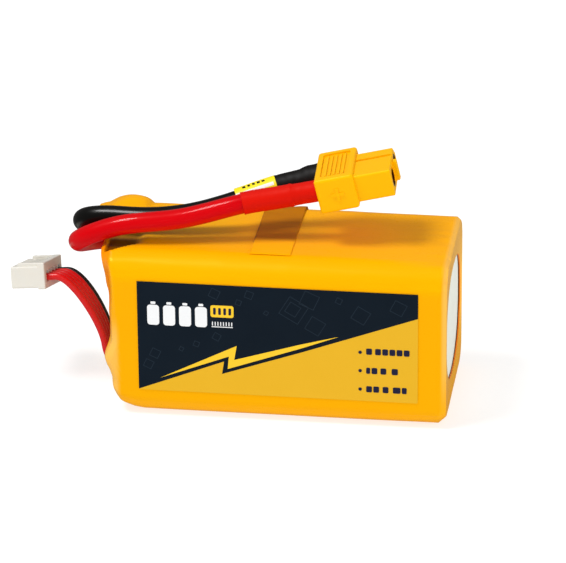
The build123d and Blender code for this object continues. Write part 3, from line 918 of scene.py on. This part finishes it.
def build_tape():
    """A strip of tape over the top, lifting a little at its back end."""
    low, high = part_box("tape_band")
    top = FILM_BOX[1].z / MM
    radius = CORNER
    half = FILM_BOX[1].y / MM
    steps_x, steps_y = 24, 90
    vertices = []
    for i in range(steps_y + 1):
        y = TAPE_FRONT + (TAPE_BACK - TAPE_FRONT) * i / steps_y
        over = max(0.0, abs(y) - (half - radius))
        z = top - radius + math.sqrt(max(0.0, radius ** 2 - over ** 2))
        for j in range(steps_x + 1):
            share = j / steps_x
            x = (low.x + (high.x - low.x) * share) / MM
            lift = TAPE_GAP + TAPE_LIFT * smooth((y - 9) / 8) * smooth(abs(share - 0.45) * 2.2)
            lift += 0.03 * noise.noise(Vector((x * 0.3, y * 0.2, 3)))
            x += 0.06 * noise.noise(Vector((y * 0.3, share, 5)))
            vertices.append(Vector((x, y, z + lift)) * MM)
    faces = [tuple(reversed(f)) for f in grid_faces(steps_y + 1, steps_x + 1, False)]
    tape = new_object("tape_strip", vertices, faces, ["amber_tape"])
    thicken(tape, TAPE_THICKNESS * MM)
    settle(tape, "pack", "amber_tape", "tape_band")


# ---------------- leads

LEAD_RADIUS = 2.25 * MM
LEAD_STEP = 0.45 * MM
LEAD_SPLIT = -25 * MM
LEAD_FINISH = {"positive": "red_silicone", "negative": "black_silicone"}

# how far the red lead's hidden first stretch is moved, in millimetres
ROOT_SHIFT = Vector((0, 1.0, 1.1))

# the sleeves and the tag, in millimetres: where each starts after its node, and its radius
UPPER_RUN_Z = 40
RUN_END_X = 20
RED_SLEEVE_START = 1.9
BLACK_SLEEVE_START = 2.6
SLEEVE_OVERRUN = 3.0
SLEEVE_WALL = 0.3
SLEEVE_STEP = 0.3
SLEEVE_SEGMENTS = 56
TAG_START = 2.1
TAG_OVERRUN = 1.2
TAG_RADIUS = 2.7
TAG_WALL = 0.15
TAG_STEP = 0.1
TAG_SEGMENTS = 120

# following a lead's mesh: how far round to look in radii, how thick a slice to take in steps, the
# fewest points that make a ring, the last steps dropped, the millimetres added in their place and
# the rounds of smoothing
LOOK_ROUND = 1.35
SLICE = 0.7
RING_POINTS = 10
LAST_STEPS = 4
TAIL_OVERRUN = 2.4
RELAXING = 10


def centre_line(names, start, heading, radius, step=0.6 * MM):
    """Walks along a tube's mesh from start and returns the line through its middle."""
    cloud = [p for name in names for p in node_points(name)]
    tree = kdtree.KDTree(len(cloud))
    for n, p in enumerate(cloud):
        tree.insert(p, n)
    tree.balance()
    line, here, heading = [start], start, heading.normalized()
    while True:
        guess = here + heading * step
        side = heading.cross(Vector((0, 0, 1)))
        if side.length < 0.1:
            side = heading.cross(Vector((0, 1, 0)))
        side.normalize()
        other = heading.cross(side)
        near = [co - guess for co, _, _ in tree.find_range(guess, radius * LOOK_ROUND)]
        ring = [d for d in near if abs(d.dot(heading)) < step * SLICE]
        if len(ring) < RING_POINTS:
            return line[:-LAST_STEPS]
        across = [d.dot(side) for d in ring]
        upward = [d.dot(other) for d in ring]
        middle = guess + side * (min(across) + max(across)) / 2
        middle += other * (min(upward) + max(upward)) / 2
        heading = (heading * 0.5 + (middle - here).normalized() * 0.5).normalized()
        here = middle
        line.append(here)


def lead_line(pole):
    """The middle of one lead, from inside the film to inside the plug."""
    names = [f"{pole}_lead_{part}" for part in ("root", "bend", "jacket", "flex", "tail")]
    low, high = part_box(names[0])
    start = Vector((high.x, (low.y + high.y) / 2, low.z + LEAD_RADIUS * 0.97))
    line = centre_line(names, start, Vector((-1, 0, 0.1)), LEAD_RADIUS)
    line = resampled(relaxed(extended(line, TAIL_OVERRUN), RELAXING), LEAD_STEP)
    if pole == "positive":
        line = raised_root(line)
    return line


def raised_root(line):
    """The line with its hidden first stretch a little higher, as it leaves the film."""
    apex = min(range(len(line)), key=lambda n: line[n].x)
    raised = []
    for n, point in enumerate(line):
        share = smooth(1 - n / apex)
        raised.append(point + ROOT_SHIFT * MM * share)
    return raised


def soft_radius(radius, seed):
    """A radius with the slight unevenness of silicone."""
    def size(share, angle):
        wave = noise.noise(Vector((share * 9, math.cos(angle) * 0.5, math.sin(angle) * 0.5 + seed)))
        return radius * (1 + 0.006 * wave)
    return size


def build_lead(pole, seed):
    """One lead as two pieces that meet over the pack: the loop and the run to the plug."""
    line = lead_line(pole)
    turn = max(n for n, p in enumerate(line) if p.x < LEAD_SPLIT)
    parts = {"loop": line[:turn + 1], "run": line[turn:]}
    for part, path in parts.items():
        vertices, faces = tube_mesh(path, soft_radius(LEAD_RADIUS, seed), 48)
        piece = new_object(f"{pole}_lead_{part}", vertices, faces, [LEAD_FINISH[pole]])
        if part == "loop":
            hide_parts(f"{pole}_lead_root", f"{pole}_lead_bend")
            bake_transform(piece)
        else:
            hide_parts(*[f"{pole}_lead_{n}" for n in ("jacket", "flex", "tail")])
            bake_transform(piece)
    return line


def extended(path, length):
    """The path carried on straight past its end."""
    heading = (path[-1] - path[-4]).normalized()
    return path + [path[-1] + heading * length * MM]


def line_part(line, low_x, high_x):
    """The upper part of a lead's line between two values of x."""
    return [p for p in line if p.z > UPPER_RUN_Z * MM and low_x * MM <= p.x <= high_x * MM]


def red_sleeve_radius(share, angle):
    """Wide over the lead, with a rippled step down to the solder cup."""
    step = smooth((share - 0.63 - 0.03 * math.sin(angle * 2)) / 0.08)
    size = 2.55 - 0.1 * step
    size += 0.12 * bell(share - 0.64, 0.02) * (1 + 0.7 * math.sin(angle * 3 + 1))
    size += 0.06 * bell(share - 0.78, 0.03) * math.sin(angle * 2)
    size += 0.05 * bell(share, 0.02)
    grain = noise.noise(Vector((share * 22, math.cos(angle) * 1.6, math.sin(angle) * 1.6)))
    return (size + 0.035 * grain) * MM


def black_sleeve_radius(share, angle):
    """Opens out towards the plug."""
    size = 2.62 + 0.5 * smooth((share - 0.45) / 0.3)
    size += 0.04 * bell(share, 0.03)
    grain = noise.noise(Vector((share * 12, math.cos(angle) * 1.4, math.sin(angle) * 1.4 + 9)))
    return (size + 0.07 * grain) * MM


def build_sleeves(red_line, black_line):
    """The two shrunk sleeves: open tubes with a wall, over the lead and on over the solder cup."""
    sleeves = [
        ("red", "positive", red_line, RED_SLEEVE_START, red_sleeve_radius),
        ("black", "negative", black_line, BLACK_SLEEVE_START, black_sleeve_radius),
    ]
    for colour, pole, line, start, radius in sleeves:
        node = f"{pole}_heatshrink"
        finish = f"{colour}_heatshrink"
        path = line_part(line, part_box(node)[0].x / MM + start, RUN_END_X)
        path = resampled(extended(path, SLEEVE_OVERRUN), SLEEVE_STEP * MM)
        vertices, faces = tube_mesh(path, radius, SLEEVE_SEGMENTS, capped=False)
        sleeve = new_object(f"{colour}_shrink_tube", vertices, faces, [finish])
        thicken(sleeve, SLEEVE_WALL * MM)
        settle(sleeve, "main_plug", finish, node)


# tag printing, a row of plain dashes over a white stripe: spans along the tag as shares of its
# length, and round it in degrees from its top towards the front
TAG_DASHES = [(0.2 + 0.12 * n, 0.27 + 0.12 * n, 4, 20) for n in range(5)]
TAG_WHITE = (0.0, 0.93, 37, 54)


def tag_mark(share, turn):
    """Material number at a place on the tag: 0 yellow, 1 white, 2 black."""
    for start, end, low, high in TAG_DASHES:
        if start < share < end and low < turn < high:
            return 2
    start, end, low, high = TAG_WHITE
    return 1 if start <= share < end and low < turn < high else 0


def build_tag(black_line):
    low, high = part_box("negative_lead_tag")
    path = line_part(black_line, low.x / MM + TAG_START, high.x / MM + TAG_OVERRUN)
    path = resampled(path, TAG_STEP * MM)

    def radius(share, angle):
        wave = noise.noise(Vector((share * 5, math.cos(angle), math.sin(angle))))
        return (TAG_RADIUS + 0.02 * wave) * MM

    vertices, faces = tube_mesh(path, radius, TAG_SEGMENTS, capped=False)
    tag = new_object("lead_tag", vertices, faces, ["yellow_vinyl", "tag_white", "tag_black"])
    for n, face in enumerate(tag.data.polygons):
        ring = n // TAG_SEGMENTS
        out = face.center - (path[ring] + path[ring + 1]) / 2
        turn = math.degrees(math.atan2(-out.y, out.z))
        face.material_index = tag_mark(ring / (len(path) - 1), turn)
    thicken(tag, TAG_WALL * MM)
    settle(tag, "main_plug", "yellow_vinyl", "negative_lead_tag")


# ---------------- balance ribbon

WIRE_RADIUS = 0.82 * MM

# directions: into the balance plug, along its row of wires, and up the ribbon where it bends
BALANCE_AXIS = Vector((-0.9927, 0.0538, -0.1113)).normalized()
BALANCE_SIDE = Vector((-0.0824, -0.9589, 0.2715)).normalized()
RIBBON_UP = Vector((-0.16, 0, 1)).normalized()

# millimetres: the plug's pitch, from its terminals back to its mouth, and how deep a wire goes in
BALANCE_PITCH = 2.5
MOUTH_BACK = 5.9
WIRE_DEPTH = 3.0

# millimetres: how far the wires' curve carries on straight at the pack, round the bend and at the plug
ROOT_HANDLE = 1.9
BELOW_BEND = 2.0
ABOVE_BEND = 5.5
PLUG_HANDLE = 3.6


def bezier(a, b, c, d, count):
    """Points on the cubic curve from a to d."""
    points = []
    for n in range(count + 1):
        t = n / count
        u = 1 - t
        points.append(a * u ** 3 + b * 3 * u * u * t + c * 3 * u * t * t + d * t ** 3)
    return points


def ribbon_roots():
    """Middle of each wire where it leaves the pack, the one nearest the labelled face first."""
    low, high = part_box("balance_red_roots")
    black_low, black_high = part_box("balance_black_root")
    radius = (black_high.y - black_low.y) / 2
    first, fourth = low.y + radius, high.y - radius
    ys = [first + (fourth - first) * n / 3 for n in range(4)] + [(black_low.y + black_high.y) / 2]
    return [Vector((low.x, y, (low.z + high.z) / 2)) for y in ys], high.x


def build_ribbon():
    roots, inner = ribbon_roots()
    low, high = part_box("balance_terminals")
    terminals = (low + high) / 2
    bend_low, bend_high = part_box("balance_red_bends")
    mouth = terminals - BALANCE_AXIS * MOUTH_BACK * MM
    for way, root in enumerate(roots):
        offset = BALANCE_SIDE * (2 - way) * BALANCE_PITCH * MM
        bend = Vector((bend_low.x + 1.9 * WIRE_RADIUS, root.y, bend_high.z - 0.12 * MM))
        plug = mouth + offset
        path = bezier(Vector((inner, root.y, root.z)), root, root, root, 6)[:-1]
        out = root - Vector((ROOT_HANDLE, 0, 0)) * MM
        path += bezier(root, out, bend - RIBBON_UP * BELOW_BEND * MM, bend, 12)[:-1]
        above = bend + RIBBON_UP * ABOVE_BEND * MM
        path += bezier(bend, above, plug - BALANCE_AXIS * PLUG_HANDLE * MM, plug, 40)
        path.append(plug + BALANCE_AXIS * WIRE_DEPTH * MM)
        vertices, faces = tube_mesh(resampled(path, 0.35 * MM), soft_radius(WIRE_RADIUS, way), 20)
        finish = "black_wire" if way == 4 else "red_wire"
        wire = new_object(f"balance_wire_{way + 1}", vertices, faces, [finish])
        if way == 0:
            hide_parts("balance_red_roots", "balance_red_bends", "balance_red_wires")
        if way == 4:
            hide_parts("balance_black_root", "balance_black_bend", "balance_black_wire")
        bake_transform(wire)


dress_cad_nodes()
build_film()
build_end_sheets()
build_label()
build_tape()
red_line = build_lead("positive", 1)
black_line = build_lead("negative", 5)
build_sleeves(red_line, black_line)
build_tag(black_line)
build_ribbon()


# ---------------- studio

# how bright the white surroundings are for what they light and in reflections
SKY_DIFFUSE = 0.5
SKY_GLOSSY = 0.12

# name, place and size in metres, power in watts, and whether it shows in reflections
LAMPS = [
    ("key_lamp", (-0.38, -0.17, 0.86), 0.28, 5.6, True),
    ("front_lamp", (0.25, -0.95, 0.42), 0.45, 2.0, False),
    ("right_lamp", (0.95, -0.12, 0.3), 0.40, 2.6, False),
]
LAMP_AIM = Vector((0, 0, 0.03))

# camera: angles in degrees, sensor and lens in millimetres; the view's width is at the target
CAMERA_ELEVATION = 24.1
CAMERA_AZIMUTH = 8.05
CAMERA_ROLL = -0.5
CAMERA_DISTANCE = 950 * MM
CAMERA_TARGET = Vector((-0.6, 0, 26.2)) * MM
VIEW_WIDTH = 128.054 * MM
SENSOR = 36.0
LENS = SENSOR * CAMERA_DISTANCE / VIEW_WIDTH


def build_floor():
    bpy.ops.mesh.primitive_plane_add(size=4.0, location=(0, 0, 0))
    floor = bpy.context.object
    floor.name = "floor"
    n = Nodes("pale_floor")
    grain = n.noise(40, 3.0)
    n.set(
        Base_Color=n.mix(grain, (0.40, 0.40, 0.40, 1), (0.42, 0.42, 0.42, 1)),
        Roughness=0.7,
        Specular_IOR_Level=0.1,
        Emission_Color=(1, 1, 1, 1),
        Emission_Strength=0.68,
    )
    floor.data.materials.append(n.material)
    floor.visible_glossy = False


def build_world():
    """White all round, dimmer for what it lights than for the camera."""
    world = bpy.data.worlds.new("studio")
    world.use_nodes = True
    tree = world.node_tree
    background = tree.nodes["Background"]
    background.inputs["Color"].default_value = (1, 1, 1, 1)
    rays = tree.nodes.new("ShaderNodeLightPath")
    seen = tree.nodes.new("ShaderNodeMix")
    seen.inputs["A"].default_value = SKY_DIFFUSE
    seen.inputs["B"].default_value = 1.0
    shine = tree.nodes.new("ShaderNodeMix")
    shine.inputs["B"].default_value = SKY_GLOSSY
    tree.links.new(rays.outputs["Is Camera Ray"], seen.inputs["Factor"])
    tree.links.new(seen.outputs["Result"], shine.inputs["A"])
    tree.links.new(rays.outputs["Is Glossy Ray"], shine.inputs["Factor"])
    tree.links.new(shine.outputs["Result"], background.inputs["Strength"])
    bpy.context.scene.world = world


def build_lamps():
    for name, place, size, power, mirrored in LAMPS:
        light = bpy.data.lights.new(name, "AREA")
        light.size = size
        light.energy = power
        lamp = bpy.data.objects.new(name, light)
        lamp.location = place
        aim = LAMP_AIM - Vector(place)
        lamp.rotation_euler = aim.to_track_quat("-Z", "Y").to_euler()
        lamp.visible_glossy = mirrored
        bpy.context.scene.collection.objects.link(lamp)


def build_camera():
    azimuth, elevation = math.radians(CAMERA_AZIMUTH), math.radians(CAMERA_ELEVATION)
    back = Vector((
        math.sin(azimuth) * math.cos(elevation),
        -math.cos(azimuth) * math.cos(elevation),
        math.sin(elevation),
    ))
    right = (-back).cross(Vector((0, 0, 1))).normalized()
    up = right.cross(-back)
    roll = math.radians(CAMERA_ROLL)
    rolled_right = right * math.cos(roll) + up * math.sin(roll)
    rolled_up = up * math.cos(roll) - right * math.sin(roll)
    turn = Matrix((rolled_right, rolled_up, back)).transposed().to_4x4()
    data = bpy.data.cameras.new("camera")
    data.lens = LENS
    data.sensor_width = SENSOR
    data.sensor_fit = "HORIZONTAL"
    camera = bpy.data.objects.new("camera", data)
    camera.matrix_world = Matrix.Translation(CAMERA_TARGET + back * CAMERA_DISTANCE) @ turn
    bpy.context.scene.collection.objects.link(camera)
    bpy.context.scene.camera = camera


build_floor()
build_world()
build_lamps()
build_camera()
bpy.context.scene.view_settings.view_transform = "Standard"

bpy.context.view_layer.update()
